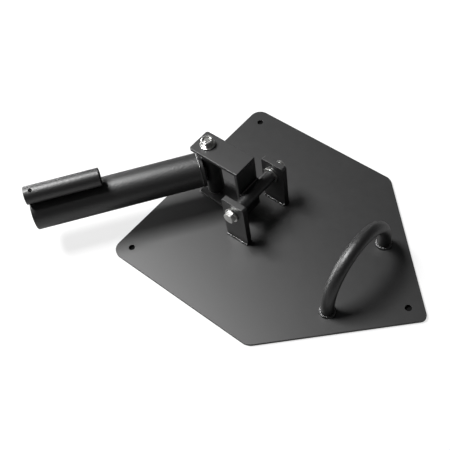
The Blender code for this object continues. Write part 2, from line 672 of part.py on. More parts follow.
def main():
    clear_scene()
    finishes()
    base_plate()
    handle()
    for side, hand in SIDES:
        lug(side, hand)
        lug_welds(side, hand)
        handle_weld(side, hand)
    pivot_fasteners()
    tilt_axis = empty("tilt_axis", (0.0, 0.0, PIVOT_HEIGHT))
    yoke(tilt_axis)
    yoke_welds(tilt_axis)
    swivel_fasteners(tilt_axis)
    swing_axis = empty("swing_axis", (0.0, -SWIVEL_FROM_PIVOT, 0.0), tilt_axis, SWING_ANGLE)
    swivel_bush(swing_axis)
    bar_sleeves(swing_axis)
    sleeve_welds(swing_axis)


main()
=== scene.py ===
"""T-bar row attachment: a black plate-mounted bar holder with a tilting yoke and a swivelling sleeve.

Every piece is modelled over its measured frame, in metres, with +Z up and the bar side at -Y.
"""

import json
import math
import random

import bmesh
import bpy
from bpy.props import FloatProperty, FloatVectorProperty, PointerProperty
from mathutils import Matrix, Vector


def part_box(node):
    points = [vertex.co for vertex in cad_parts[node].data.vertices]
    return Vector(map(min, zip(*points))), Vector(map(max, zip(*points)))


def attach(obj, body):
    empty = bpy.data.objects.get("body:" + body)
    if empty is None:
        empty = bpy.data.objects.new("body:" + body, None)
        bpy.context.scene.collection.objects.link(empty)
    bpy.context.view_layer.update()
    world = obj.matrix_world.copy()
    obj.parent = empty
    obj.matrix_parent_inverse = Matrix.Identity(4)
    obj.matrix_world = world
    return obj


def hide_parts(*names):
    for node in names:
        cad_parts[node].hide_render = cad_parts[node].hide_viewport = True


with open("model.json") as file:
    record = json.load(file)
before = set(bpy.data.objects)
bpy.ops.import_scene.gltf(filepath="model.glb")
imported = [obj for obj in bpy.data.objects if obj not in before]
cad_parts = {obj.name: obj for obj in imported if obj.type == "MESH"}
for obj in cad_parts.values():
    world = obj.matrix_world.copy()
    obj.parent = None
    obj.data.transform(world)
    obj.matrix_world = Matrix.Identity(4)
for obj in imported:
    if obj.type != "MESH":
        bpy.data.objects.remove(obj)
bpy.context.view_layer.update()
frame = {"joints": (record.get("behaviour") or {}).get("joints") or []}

bl_info = {
    "name": "T-Bar Row Attachment",
    "version": (1, 0, 0),
    "blender": (4, 5, 0),
    "location": "3D Viewport > Sidebar > T-Bar",
    "description": "Builds a plate-mounted t-bar row attachment piece by piece",
    "category": "Object",
}

MM = 0.001
UP = Vector((0.0, 0.0, 1.0))
SIDES = ((1, "right"), (-1, "left"))
ENDS = ((1, "top"), (-1, "bottom"))
JOINTS = {joint["name"]: joint for joint in frame["joints"]}
PIVOT_HEIGHT = JOINTS["tilt"]["pos_m"][2]
SWIVEL_Y = JOINTS["swing"]["pos_m"][1]
MERGE_DISTANCE = 0.005 * MM
CUT_TOLERANCE = 0.001 * MM

# Facets of the round shapes
CORNER_STEPS = 10
BEND_STEPS = 96
SLEEVE_SIDES = 128
TUBE_SIDES = 96
BOLT_SIDES = 72
ROD_SIDES = 64
DRILL_SIDES = 64
SCREW_HOLE_SIDES = 48

# Softness of the edges: its width, and the angle from which on an edge is softened or kept sharp
END_PLATE_EDGE = 0.7 * MM
SLEEVE_EDGE = 0.9 * MM
SMALL_SLEEVE_EDGE = 0.7 * MM
TUBE_EDGE = 0.6 * MM
WASHER_EDGE = 0.35 * MM
INSERT_EDGE = 0.15 * MM
NUT_EDGE = 0.15 * MM
BOLT_EDGE = 0.12 * MM
EDGE_ANGLE = math.radians(40)
BOLT_EDGE_ANGLE = math.radians(28)
NUT_EDGE_ANGLE = math.radians(25)
HANDLE_SHARP_ANGLE = math.radians(32)
FLAT_FACE_WEIGHT = 80

# Hexagons: the slope of the turned-off corners, the round face's share of the width, and the blank's margin
HEX_CHAMFER = math.radians(30)
HEX_FACE_SHARE = 0.90
HEX_MARGIN = 0.1 * MM

# Thread: its turns, and its depth and the start and end of its root as shares of the pitch
THREAD_TURNS = 9
THREAD_DEPTH = 0.61
THREAD_ROOT = (0.44, 0.56)

# Nuts: the play and the overcut of the bore, the share of the collar's height that curls in,
# and the points of that curl as shares of it, inwards and down
NUT_BORE_PLAY = 0.3 * MM
NUT_OVERCUT = 1 * MM
COLLAR_CURL = 0.5
COLLAR_CURVE = ((0.0, 1.0), (0.15, 0.5), (0.5, 0.12), (1.0, 0.0))

# Lock insert: its play round the bolt, its outside over the bolt's, and how far its ends lie below
# the hexagon's and the collar's tops
INSERT_PLAY = 0.05 * MM
INSERT_WIDTH = 0.9 * MM
INSERT_FOOT = 0.5 * MM
INSERT_SINK = 0.9 * MM

# Weld beads: the half height and half width of a drop, as shares of the bead's leg
DROPS = {
    "lug": (0.62, 0.92), "handle": (0.62, 0.90), "yoke": (0.62, 0.92), "pivot tube": (0.75, 0.95),
    "sleeve end": (0.38, 0.62), "bush": (0.85, 0.70), "stitch": (0.55, 0.85),
}

# A drop's half length as a share of the ripple, its lean and the play in it in degrees,
# and how far its size and place stray
DROP_LENGTH = 0.62
DROP_LEAN = (14, 4)
DROP_SWELL = 0.06
DROP_WANDER = 0.06

# A bead's rise out of its corner, the inset of its ends and its sinking into a seam, as shares of
# the leg, and its gap to the faces it lies on
BEAD_RISE = 0.2
BEAD_INSET = 0.3
BEAD_SINK = 0.05
BEAD_CLEARANCE = 0.02 * MM
BEAD_SHARP_ANGLE = math.radians(50)
BEAD_SEEDS = {
    "lug_weld_right_outer": 12, "lug_weld_right_inner": 13, "lug_weld_left_outer": 14,
    "lug_weld_left_inner": 15, "handle_weld_right": 23, "handle_weld_left": 21,
    "yoke_weld_top": 32, "yoke_weld_bottom": 30, "pivot_tube_weld_top": 42, "pivot_tube_weld_bottom": 40,
    "sleeve_end_weld": 51, "bush_weld_right": 62, "bush_weld_left": 60,
    "small_sleeve_weld_right_near": 72, "small_sleeve_weld_right_far": 77,
    "small_sleeve_weld_left_near": 70, "small_sleeve_weld_left_far": 75,
}

# Beads on tubes: which way they face, and their places as shares of the tube's radius or of the leg
PIVOT_TUBE_BEAD_LEAN = math.radians(58)
PIVOT_TUBE_BEAD_PLACE = (-0.83, 0.80)
BUSH_BEAD_OUT = (0.86, -0.5)
BUSH_BEAD_PLACE = (0.63, 0.90)
STITCH_SPREAD = 1.75
STITCH_LIFT = 0.12

# Floor: its gap under the plate, and between which distances from the middle its paleness grows
FLOOR_DROP = 0.2 * MM
FLOOR_FADE = (0.7, 2.2)

# Anchor holes: the painted shade on the floor in them, and between which shares of a hole's width it turns
# pale
# Painted shade: the near-black colour that the floor takes inside the anchor holes
HOLE_PAINTED_SHADE = (0.006, 0.006, 0.006, 1.0)
HOLE_SHADE = (1.0, 1.3)

# Room: between which heights of a reflected ray the walls turn into the ceiling
WALL_TOP = (0.30, 0.62)

# Lamps: their places, what they are aimed at, and the front lamp's length as a share of its height
KEY_PLACE = (0.50, -1.42, 2.75)
RIM_PLACE = (-3.0, -1.50, 1.25)
FRONT_PLACE = (0.45, -1.75, 0.30)
LAMP_TARGET = (0.0, -0.05, 0.05)
FRONT_LENGTH = 4

# Camera: its turn as an axis times an angle, its shift along its own axes, and the plate's front edge,
# from which the shift counts
# 0 where shade is painted on the floor inside the anchor holes, 1 on the open floor.
CAMERA_TURN = (1.24423786, 2.56447470, -0.898090827)
CAMERA_SHIFT = (0.065979, 0.091337, -1.277907)
CAMERA_BASE = (0.0, -0.161, 0.005)


def length(name, millimetres, description):
    return FloatProperty(
        name=name, description=description, default=millimetres * MM, min=0.0, precision=5,
        subtype="DISTANCE", unit="LENGTH",
    )


def turn(name, degrees, description):
    return FloatProperty(
        name=name, description=description, default=math.radians(degrees), subtype="ANGLE", unit="ROTATION",
    )


def share(name, value, description):
    return FloatProperty(
        name=name, description=description, default=value, min=0.0, max=1.0, subtype="FACTOR",
    )


def strength(name, value, description):
    return FloatProperty(name=name, description=description, default=value, min=0.0)


def colour(name, value, description):
    return FloatVectorProperty(
        name=name, description=description, default=value, size=3, min=0.0, max=1.0, subtype="COLOR",
    )


def power(name, watts, description):
    return FloatProperty(name=name, description=description, default=watts, min=0.0, unit="POWER")


class PlateSizes(bpy.types.PropertyGroup):
    """Sizes of the base plate"""
    front_width: length("Front Width", 406.0, "Width of the plate at its front edge")
    side_taper: length("Side Taper", 3.6, "How far each long side runs in towards its shoulder")
    front_reach: length("Front Reach", 161.2, "From the pivot axis to the front edge")
    shoulder_depth: length("Shoulder Depth", 301.0, "From the front edge to the shoulders")
    nose_depth: length("Nose Depth", 495.0, "From the front edge to the point of the nose")
    corner_radius: length("Corner Radius", 20.0, "Rounding of the four wide corners")
    nose_radius: length("Nose Radius", 11.0, "Rounding of the nose")
    hole_diameter: length("Anchor Hole", 11.0, "Diameter of the three anchor holes")
    hole_inset: length("Anchor Hole Inset", 26.0, "From the sides and the front edge to an anchor hole")
    nose_hole_inset: length("Nose Hole Inset", 34.6, "From the point of the nose to its anchor hole")

    def hole_places(self):
        side = self.front_width / 2 - self.hole_inset
        front = -self.front_reach
        nose = front + self.nose_depth - self.nose_hole_inset
        return [(side, front + self.hole_inset), (-side, front + self.hole_inset), (0.0, nose)]


class FrameSizes(bpy.types.PropertyGroup):
    """Sizes of the lugs and the yoke"""
    edge_radius: length("Edge Radius", 0.9, "Softness of the coated edges")
    lug_corner: length("Lug Corner", 4.0, "Rounding of a lug's two top corners")
    yoke_corner: length("Yoke Corner", 4.5, "Rounding of the yoke plates' front corners")
    bolt_hole: length("Bolt Hole", 13.0, "Diameter of the holes for the two bolts")
    running_bore: length("Running Bore", 12.7, "Bore of the tubes that turn on the bolts")


class SleeveSizes(bpy.types.PropertyGroup):
    """Sizes of the two bar sleeves"""
    swing: turn("Swing", 53.7, "How far the sleeve is turned from the front")
    rise: length("Rise", 4.6, "Height of the large sleeve's axis over the pivot axis")
    diameter: length("Sleeve Diameter", 60.0, "Outside of the large sleeve")
    wall: length("Sleeve Wall", 3.5, "Wall of the large sleeve")
    start: length("Sleeve Start", 21.6, "From the swivel axis to the large sleeve's closed end")
    reach: length("Sleeve Reach", 309.5, "From the swivel axis to the open mouths")
    end_plate: length("End Plate", 6.0, "Thickness of the round end plate")
    end_gap: length("End Gap", 0.3, "Gap between the end plate and the large sleeve")
    small_diameter: length("Small Sleeve Diameter", 31.0, "Outside of the small sleeve")
    small_wall: length("Small Sleeve Wall", 2.3, "Wall of the small sleeve")
    small_length: length("Small Sleeve Length", 125.0, "Length of the small sleeve")
    small_rise: length("Small Sleeve Rise", 50.4, "Height of the small sleeve's axis over the pivot axis")
    screw_hole: length("Screw Hole", 7.0, "Diameter of the clamp screw's hole")
    screw_inset: length("Screw Hole Inset", 12.0, "From the mouth to the clamp screw's hole")
    screw_turn: turn("Screw Hole Turn", 16, "How far the hole leans to one side")

    def laid(self, rise=0.0, along=0.0):
        """From a shape about Z to one laid along the sleeve, raised over the pivot and set that far out."""
        lie = Matrix.Rotation(math.radians(90), 4, "X")
        middle = at(0.0, SWIVEL_Y, PIVOT_HEIGHT)
        return middle @ Matrix.Rotation(self.swing, 4, "Z") @ lie @ at(0.0, rise, along)

    def end_plate_start(self):
        return self.start - self.end_gap - self.end_plate


class FastenerSizes(bpy.types.PropertyGroup):
    """Sizes of the bolts, nuts and washers"""
    bolt: length("Bolt", 12.0, "Diameter of the bolts")
    across_flats: length("Across Flats", 19.0, "Width of the heads and nuts")
    head: length("Head Height", 7.5, "Height of a bolt's head")
    nut: length("Nut Height", 10.4, "Height of a nut's hexagon")
    collar: length("Collar Diameter", 18.4, "Outside of the lock nut's collar")
    end_chamfer: length("End Chamfer", 1.6, "Chamfer at a bolt's end")
    pitch: length("Thread Pitch", 1.75, "Distance between two turns of the thread")
    countersink: length("Countersink", 14.4, "Widest diameter of a nut's countersink")


class WeldSizes(bpy.types.PropertyGroup):
    """Sizes of the weld beads"""
    plate_leg: length("Plate Bead", 3.2, "Leg of the beads on the lugs and in the yoke")
    handle_leg: length("Handle Bead", 4.0, "Leg of the beads round the handle's feet")
    small_leg: length("Small Bead", 3.0, "Size of the beads on the tubes")
    ripple: length("Ripple", 1.7, "Distance between two ripples of a bead")
    grain: length("Grain", 0.34, "Fineness of the fused bead")
    stitch: length("Stitch", 30.0, "Length of a stitch under the small sleeve")
    stitch_inset: length("Stitch Inset", 6.0, "From the small sleeve's ends to a stitch")


class Finishes(bpy.types.PropertyGroup):
    """Colours and gloss of the finishes"""
    coat: colour("Powder Coat", (0.0058, 0.0058, 0.0060), "Colour of the black powder coat")
    coat_gloss: share("Coat Roughness", 0.46, "Roughness of the powder coat")
    coat_shine: share("Coat Shine", 1.0, "How strongly the powder coat reflects")
    bead: colour("Coated Bead", (0.0120, 0.0120, 0.0124), "Colour of the coated weld beads")
    zinc: colour("Bright Zinc", (0.72, 0.72, 0.70), "Colour of the plated fasteners")
    insert: colour("Lock Insert", (0.78, 0.80, 0.82), "Colour of the lock nut's insert")


class StageSettings(bpy.types.PropertyGroup):
    """Floor, lamps and camera"""
    floor: colour("Floor", (0.30, 0.30, 0.30), "Colour of the floor")
    floor_size: length("Floor Size", 9000.0, "Width of the floor")
    floor_glow: strength("Floor Glow", 0.72, "Paleness of the floor round the object")
    reflected: share("Reflected", 0.10, "Share of the floor's paleness that reflections see")
    fill: strength("Fill", 0.012, "Strength of the soft light from all round")
    walls: share("Walls", 0.045, "How pale the room's walls are in reflections")
    ceiling: share("Ceiling", 0.05, "How pale the room is overhead in reflections")
    key_power: power("Key Power", 131.0, "Power of the large soft lamp overhead")
    key_length: length("Key Length", 1200.0, "Length of the large lamp, across the sleeve")
    key_width: length("Key Width", 900.0, "Width of the large lamp, along the sleeve")
    rim_power: power("Rim Power", 5.0, "Power of the low lamp at the left")
    rim_size: length("Rim Size", 950.0, "Width of the low lamp")
    front_power: power("Front Power", 46.0, "Power of the low lamp in front")
    front_size: length("Front Size", 450.0, "Height of the low lamp in front")
    focal: FloatProperty(
        name="Focal Length", description="Focal length of the camera in millimetres", default=55.716, min=1.0,
    )


# Working with shapes

def outlined(points, radii):
    """A flat face on the XY plane. Each corner is rounded by its own radius."""
    bm = bmesh.new()
    corners = [bm.verts.new((x, y, 0.0)) for x, y in points]
    bm.faces.new(corners)
    for corner, radius in zip(corners, radii):
        if radius > 0.0:
            one, two = [edge.other_vert(corner).co - corner.co for edge in corner.link_edges]
            bmesh.ops.bevel(
                bm, geom=[corner], offset=radius / math.tan(one.angle(two) / 2), offset_type="OFFSET",
                segments=CORNER_STEPS, profile=0.5, affect="VERTICES", material=-1,
            )
    return bm


def pulled(bm, faces, height):
    """Pulls faces out along Z and returns them at their new height."""
    grown = bmesh.ops.extrude_face_region(bm, geom=faces)["geom"]
    moved = [item for item in grown if isinstance(item, bmesh.types.BMVert)]
    bmesh.ops.translate(bm, verts=moved, vec=(0.0, 0.0, height))
    return [item for item in grown if isinstance(item, bmesh.types.BMFace)]


def turned(profile, sides, closed=False):
    """A shape turned about Z from (radius, height) points. An open profile starts and ends on the axis."""
    bm = bmesh.new()
    points = [bm.verts.new((radius, 0.0, height)) for radius, height in profile]
    edges = [bm.edges.new(pair) for pair in zip(points, points[1:])]
    if closed:
        edges.append(bm.edges.new((points[-1], points[0])))
    bmesh.ops.spin(
        bm, geom=points + edges, cent=(0, 0, 0), axis=(0, 0, 1), angle=math.tau, steps=sides, use_merge=True,
    )
    bmesh.ops.remove_doubles(bm, verts=bm.verts[:], dist=MERGE_DISTANCE)
    return bm


def hexagon(across_flats, height):
    bm = bmesh.new()
    bmesh.ops.create_circle(bm, cap_ends=True, segments=6, radius=across_flats / math.sqrt(3))
    pulled(bm, bm.faces[:], height)
    return bm


def placed(bm, matrix):
    bmesh.ops.transform(bm, matrix=matrix, verts=bm.verts[:])
    return bm


def at(x, y, z):
    return Matrix.Translation((x, y, z))


def along_pivot(x, way=1):
    """From a shape about Z to one about the pivot axis, whose z counts from x to the right or left."""
    return at(x, 0.0, PIVOT_HEIGHT) @ Matrix.Rotation(math.radians(90 * way), 4, "Y")


def solid(bm, name, sheet=False):
    """Turns a bmesh into an object with outward faces. A flat sheet's faces already point up."""
    if not sheet:
        bmesh.ops.recalc_face_normals(bm, faces=bm.faces[:])
    mesh = bpy.data.meshes.new(name)
    bm.to_mesh(mesh)
    bm.free()
    made = bpy.data.objects.new(name, mesh)
    bpy.context.scene.collection.objects.link(made)
    return made


def cut_plate(name, points, radii, thickness, lay):
    """A plate cut to a rounded outline on the XY plane."""
    bm = outlined(points, radii)
    pulled(bm, bm.faces[:], thickness)
    return solid(placed(bm, lay), name)


def cut_tube(name, inner, outer, low, high, sides, lay):
    """A tube about Z from low to high."""
    profile = [(inner, low), (outer, low), (outer, high), (inner, high)]
    return solid(placed(turned(profile, sides, closed=True), lay), name)


def plug(radius, low, high, sides, lay, name="plug"):
    """A round solid about Z from low to high, which also serves as a drill."""
    profile = [(0.0, low), (radius, low), (radius, high), (0.0, high)]
    return solid(placed(turned(profile, sides), lay), name)


def settled(piece):
    """Applies a piece's modifiers to its mesh."""
    bpy.context.view_layer.update()
    graph = bpy.context.evaluated_depsgraph_get()
    finished = bpy.data.meshes.new_from_object(piece.evaluated_get(graph))
    finished.name = piece.name
    old = piece.data
    piece.modifiers.clear()
    piece.data = finished
    bpy.data.meshes.remove(old)
    if not finished.polygons:
        raise RuntimeError(f"{piece.name} came out empty")
    return piece


def machined(piece, *steps):
    """Joins, cuts or trims a piece by other shapes, which are then thrown away."""
    for tool, operation in steps:
        step = piece.modifiers.new("shape", "BOOLEAN")
        step.object = tool
        step.operation = operation
        step.solver = "EXACT"
    settled(piece)
    for tool, _ in steps:
        mesh = tool.data
        bpy.data.objects.remove(tool)
        bpy.data.meshes.remove(mesh)
    return piece


def drilled(piece, *drills):
    return machined(piece, *[(drill, "DIFFERENCE") for drill in drills])


def softened(piece, radius, segments=3, angle=EDGE_ANGLE):
    """Rounds the sharp edges and keeps the wide faces flat."""
    edge = piece.modifiers.new("edges", "BEVEL")
    edge.width = radius
    edge.segments = segments
    edge.profile = 0.5
    edge.material = -1
    edge.limit_method = "ANGLE"
    edge.angle_limit = angle
    edge.use_clamp_overlap = True
    piece.data.shade_smooth()
    even = piece.modifiers.new("faces", "WEIGHTED_NORMAL")
    even.mode = "FACE_AREA"
    even.weight = FLAT_FACE_WEIGHT
    return settled(piece)


# Finishes

# Between these values lies most of a noise
NOISE_MIDDLE = (0.3, 0.7)


def wired(tree, node, sockets):
    """Sets a node's sockets. Each gets a plain value, or the output that feeds it."""
    for key, value in sockets.items():
        if isinstance(value, bpy.types.NodeSocket):
            tree.links.new(value, node.inputs[key])
        else:
            node.inputs[key].default_value = value
    return node


def added(tree, kind, output, sockets=None, **choices):
    """Adds a shader node and returns one of its outputs."""
    node = tree.nodes.new(f"ShaderNode{kind}")
    for choice, value in choices.items():
        setattr(node, choice, value)
    return wired(tree, node, sockets or {}).outputs[output]


def maths(tree, operation, one, two):
    return added(tree, "Math", "Value", {0: one, 1: two}, operation=operation)


def noise(tree, place, scale, detail, roughness=0.5):
    return added(tree, "TexNoise", "Fac", {
        "Vector": place, "Scale": scale, "Detail": detail, "Roughness": roughness,
    })


def ramped(tree, value, start, end, low, high, shape="LINEAR"):
    """Runs from low to high while the value runs from start to end."""
    return added(tree, "MapRange", "Result", {
        "Value": value, "From Min": start, "From Max": end, "To Min": low, "To Max": high,
    }, interpolation_type=shape)


def spread(tree, value, low, high):
    """Spreads a noise's middle over a range."""
    return ramped(tree, value, *NOISE_MIDDLE, low, high)


def shades(tree, factor, stops):
    """Colours along a factor, from (position, colour) stops."""
    node = tree.nodes.new("ShaderNodeValToRGB")
    ramp = node.color_ramp
    while len(ramp.elements) < len(stops):
        ramp.elements.new(0.5)
    for element, (position, tone) in zip(ramp.elements, stops):
        element.position = position
        element.color = (*tone, 1.0)
    return wired(tree, node, {"Fac": factor}).outputs["Color"]


def bumps(tree, *layers):
    """A normal from layers of (height, strength, depth), one over the other."""
    normal = None
    for height, amount, depth in layers:
        sockets = {"Strength": amount, "Distance": depth, "Height": height}
        if normal is not None:
            sockets["Normal"] = normal
        normal = added(tree, "Bump", "Normal", sockets)
    return normal


def scaled(tone, factor):
    return tuple(channel * factor for channel in tone)


def new_finish(name):
    """A new material: its node tree, its shader, and the object's own coordinates."""
    made = bpy.data.materials.new(name)
    made.use_nodes = True
    tree = made.node_tree
    return made, tree, tree.nodes["Principled BSDF"], added(tree, "TexCoord", "Object")


def powder_coat(name, props, peel_scale=360.0, peel_depth=0.020 * MM, gloss_play=0.012):
    """Satin black powder coat: a faint orange peel, a fine grain and slow changes of depth."""
    made, tree, shader, place = new_finish(name)
    gloss = props.coat_gloss
    depth = noise(tree, place, scale=34.0, detail=4.0, roughness=0.55)
    sheen = noise(tree, place, scale=85.0, detail=5.0, roughness=0.6)
    peel = noise(tree, place, peel_scale, detail=2.0)
    grain = noise(tree, place, scale=2400.0, detail=1.0)
    wired(tree, shader, {
        "Base Color": shades(tree, depth, [
            (0.30, scaled(props.coat, 0.90)), (0.52, tuple(props.coat)), (0.74, scaled(props.coat, 1.15)),
        ]),
        "Roughness": spread(tree, sheen, gloss - gloss_play, gloss + gloss_play),
        "Specular IOR Level": props.coat_shine,
        "Normal": bumps(tree, (peel, 0.35, peel_depth), (grain, 0.25, 0.012 * MM)),
    })
    return made


def tube_coat(name, props):
    """The same coat on drawn tube and bar, where the mill surface shows through it."""
    return powder_coat(name, props, peel_scale=260.0, peel_depth=0.95 * MM)


def coated_bead(name, props):
    """The same coat where it flowed over the ripples of a weld, a little thicker and glossier."""
    made, tree, shader, place = new_finish(name)
    depth = noise(tree, place, scale=260.0, detail=4.0)
    sheen = noise(tree, place, scale=500.0, detail=3.0)
    spatter = noise(tree, place, scale=1100.0, detail=2.0)
    wired(tree, shader, {
        "Base Color": shades(tree, depth, [(0.3, scaled(props.bead, 0.75)), (0.7, scaled(props.bead, 1.4))]),
        "Roughness": spread(tree, sheen, 0.16, 0.27),
        "Specular IOR Level": 1.0,
        "Coat Weight": 1.0,
        "Coat Roughness": 0.12,
        "Normal": bumps(tree, (spatter, 0.2, 0.04 * MM)),
    })
    return made


def bright_zinc(name, props):
    """Bright zinc plating: fine drawn lines, cloudy passivation and small handling marks."""
    made, tree, shader, place = new_finish(name)
    cloud = noise(tree, place, scale=120.0, detail=5.0, roughness=0.6)
    wear = noise(tree, place, scale=420.0, detail=4.0, roughness=0.65)
    drawn = added(tree, "Mapping", "Vector", {"Vector": place, "Scale": (1.0, 1.0, 0.15)})
    lines = noise(tree, drawn, scale=2600.0, detail=2.0)
    wired(tree, shader, {
        "Base Color": shades(tree, cloud, [
            (0.28, scaled(props.zinc, 0.80)), (0.5, tuple(props.zinc)), (0.72, (0.79, 0.79, 0.78)),
        ]),
        "Metallic": 1.0,
        "Roughness": spread(tree, wear, 0.26, 0.38),
        "Normal": bumps(tree, (wear, 0.15, 0.04 * MM), (lines, 0.20, 0.01 * MM)),
    })
    return made


def lock_insert(name, props):
    """The pale insert that grips the thread in the lock nut."""
    made, tree, shader, place = new_finish(name)
    tint = noise(tree, place, scale=300.0, detail=3.0)
    marks = noise(tree, place, scale=900.0, detail=2.0)
    wired(tree, shader, {
        "Base Color": shades(tree, tint, [(0.3, scaled(props.insert, 0.9)), (0.7, tuple(props.insert))]),
        "Roughness": spread(tree, marks, 0.38, 0.52),
        "Subsurface Weight": 0.15,
        "Subsurface Radius": (0.002, 0.002, 0.002),
        "Normal": bumps(tree, (marks, 0.2, 0.03 * MM)),
    })
    return made


# Each finish: its material's name, its maker, and the frame's slot that it stands for
FINISHES = {
    "coat": ("black powder coat", powder_coat, "black_powder_coat"),
    "tube": ("black powder coat on tube", tube_coat, "black_powder_coat"),
    "bead": ("coated weld bead", coated_bead, "coated_weld_bead"),
    "zinc": ("bright zinc", bright_zinc, "bright_zinc"),
    "insert": ("lock nut insert", lock_insert, None),
}


def fitted(context, piece, node, body, look):
    """Gives a piece its finish and its moving body, and hides the frame node that it stands for."""
    name, maker, slot = FINISHES[look]
    piece.data.materials.clear()
    piece.data.materials.append(bpy.data.materials.get(name) or maker(name, context.scene.tbar_finishes))
    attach(piece, body)
    if node:
        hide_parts(node)


# Weld beads

def bead(name, stops, props, flat, wide, seed):
    """A rippled bead: overlapping tilted drops along its path, fused to one skin.

    Each stop is (point, forward, out). flat and wide are the drop's half sizes outwards and sideways.
    """
    chance = random.Random(seed)
    lean, waver = DROP_LEAN
    bm = bmesh.new()
    for point, forward, out in stops:
        forward = forward.normalized()
        out = (out - forward * out.dot(forward)).normalized()
        side = forward.cross(out)
        along_bead = Matrix((forward, out, side)).transposed().to_4x4()
        tilt = Matrix.Rotation(math.radians(lean + chance.uniform(-waver, waver)), 4, "Z")
        swell = chance.uniform(1 - DROP_SWELL, 1 + DROP_SWELL)
        size = Matrix.Diagonal((props.ripple * DROP_LENGTH, flat * swell, wide * swell, 1.0))
        wander = side * chance.uniform(-DROP_WANDER, DROP_WANDER) * wide
        lay = Matrix.Translation(point + wander) @ along_bead @ tilt @ size
        bmesh.ops.create_icosphere(bm, subdivisions=2, radius=1.0, matrix=lay)
    piece = solid(bm, name)
    skin = piece.modifiers.new("fuse", "REMESH")
    skin.mode = "VOXEL"
    skin.voxel_size = props.grain
    skin.use_smooth_shade = True
    soft = piece.modifiers.new("soft", "SMOOTH")
    soft.factor = 0.5
    soft.iterations = 1
    return settled(piece)


def trimmed(piece, faces):
    """Cuts a bead off just over the faces it lies on. Each face is (point on it, outward normal)."""
    bm = bmesh.new()
    bm.from_mesh(piece.data)
    for point, normal in faces:
        made = bmesh.ops.bisect_plane(
            bm, geom=bm.verts[:] + bm.edges[:] + bm.faces[:], dist=CUT_TOLERANCE,
            plane_co=point + normal * BEAD_CLEARANCE, plane_no=normal, clear_inner=True,
        )
        rim = [item for item in made["geom_cut"] if isinstance(item, bmesh.types.BMEdge)]
        if rim:
            bmesh.ops.holes_fill(bm, edges=rim, sides=0)
    bmesh.ops.recalc_face_normals(bm, faces=bm.faces[:])
    bm.to_mesh(piece.data)
    bm.free()


def welded(context, node, body, kind, leg, stops, cores=(), faces=()):
    """Lays a bead, cuts it back to the tubes and faces it lies on, and hands it over."""
    flat, wide = DROPS[kind]
    sizes = context.scene.tbar_welds
    made = bead(f"finished_{node}", stops, sizes, flat * leg, wide * leg, BEAD_SEEDS[node])
    if cores:
        drilled(made, *cores)
    if faces:
        trimmed(made, faces)
    made.data.shade_smooth()
    made.data.set_sharp_from_angle(angle=BEAD_SHARP_ANGLE)
    fitted(context, made, node, body, "bead")


def straight(start, end, out, ripple):
    """Stops of a straight bead."""
    run = end - start
    count = max(2, round(run.length / ripple))
    return [(start.lerp(end, (k + 0.5) / count), run, out) for k in range(count)]


def once_round(radius, ripple):
    """The outward and forward directions at each ripple of a bead that runs once round Z."""
    count = round(math.tau * radius / ripple)
    for k in range(count):
        angle = math.tau * k / count
        x, y = math.cos(angle), math.sin(angle)
        yield Vector((x, y, 0.0)), Vector((-y, x, 0.0))


# The base

class TBAR_OT_base_plate(bpy.types.Operator):
    """Cut out the base plate, drill its anchor holes and soften its edges"""
    bl_idname = "tbar.base_plate"
    bl_label = "Base Plate"

    def execute(self, context):
        sizes = context.scene.tbar_plate
        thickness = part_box("base_plate")[1].z
        front = -sizes.front_reach
        half = sizes.front_width / 2
        shoulder = front + sizes.shoulder_depth
        corner = sizes.corner_radius
        plate = cut_plate("finished_base_plate", [
            (-half, front), (half, front), (half - sizes.side_taper, shoulder),
            (0.0, front + sizes.nose_depth), (-half + sizes.side_taper, shoulder),
        ], [corner, corner, corner, sizes.nose_radius, corner], thickness, at(0.0, 0.0, 0.0))
        drilled(plate, *[
            plug(sizes.hole_diameter / 2, -thickness, 2 * thickness, DRILL_SIDES, at(x, y, 0.0))
            for x, y in sizes.hole_places()
        ])
        softened(plate, context.scene.tbar_frame.edge_radius, segments=4)
        fitted(context, plate, "base_plate", "base", "coat")
        return {"FINISHED"}


class TBAR_OT_lugs(bpy.types.Operator):
    """Make the two upright pivot lugs with their bolt holes"""
    bl_idname = "tbar.lugs"
    bl_label = "Pivot Lugs"

    def execute(self, context):
        sizes = context.scene.tbar_frame
        stand_up = Matrix(((0, 0, 1, 0), (1, 0, 0, 0), (0, 1, 0, 0), (0, 0, 0, 1)))
        for _, hand in SIDES:
            node = f"pivot_lug_{hand}"
            low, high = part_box(f"pivot_lug_{hand}")
            thick = high.x - low.x
            lug = cut_plate(
                f"finished_{node}", [(low.y, low.z), (high.y, low.z), (high.y, high.z), (low.y, high.z)],
                [0.0, 0.0, sizes.lug_corner, sizes.lug_corner], thick, at(low.x, 0.0, 0.0) @ stand_up,
            )
            drilled(lug, plug(sizes.bolt_hole / 2, -thick, 2 * thick, DRILL_SIDES, along_pivot(low.x)))
            softened(lug, sizes.edge_radius)
            fitted(context, lug, node, "base", "coat")
        return {"FINISHED"}


class TBAR_OT_handle(bpy.types.Operator):
    """Bend the round-bar carrying handle"""
    bl_idname = "tbar.handle"
    bl_label = "Carrying Handle"

    def execute(self, context):
        low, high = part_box("handle")
        rod_radius = (high.y - low.y) / 2
        bend = (high.x - low.x) / 2 - rod_radius
        middle = (high.y + low.y) / 2
        leg = high.z - low.z - bend - rod_radius
        bm = bmesh.new()
        bmesh.ops.create_circle(bm, cap_ends=True, radius=rod_radius, segments=ROD_SIDES)
        placed(bm, at(bend, middle, low.z))
        first = pulled(bm, bm.faces[:], leg)
        swept = bmesh.ops.spin(
            bm, geom=first, cent=(0.0, middle, low.z + leg), axis=(0, 1, 0), angle=-math.pi, steps=BEND_STEPS,
        )
        last = [item for item in swept["geom_last"] if isinstance(item, bmesh.types.BMFace)]
        pulled(bm, last, -leg)
        bmesh.ops.delete(bm, geom=first + last, context="FACES_ONLY")
        handle = solid(bm, "finished_handle")
        handle.data.shade_smooth()
        handle.data.set_sharp_from_angle(angle=HANDLE_SHARP_ANGLE)
        fitted(context, handle, "handle", "base", "tube")
        return {"FINISHED"}


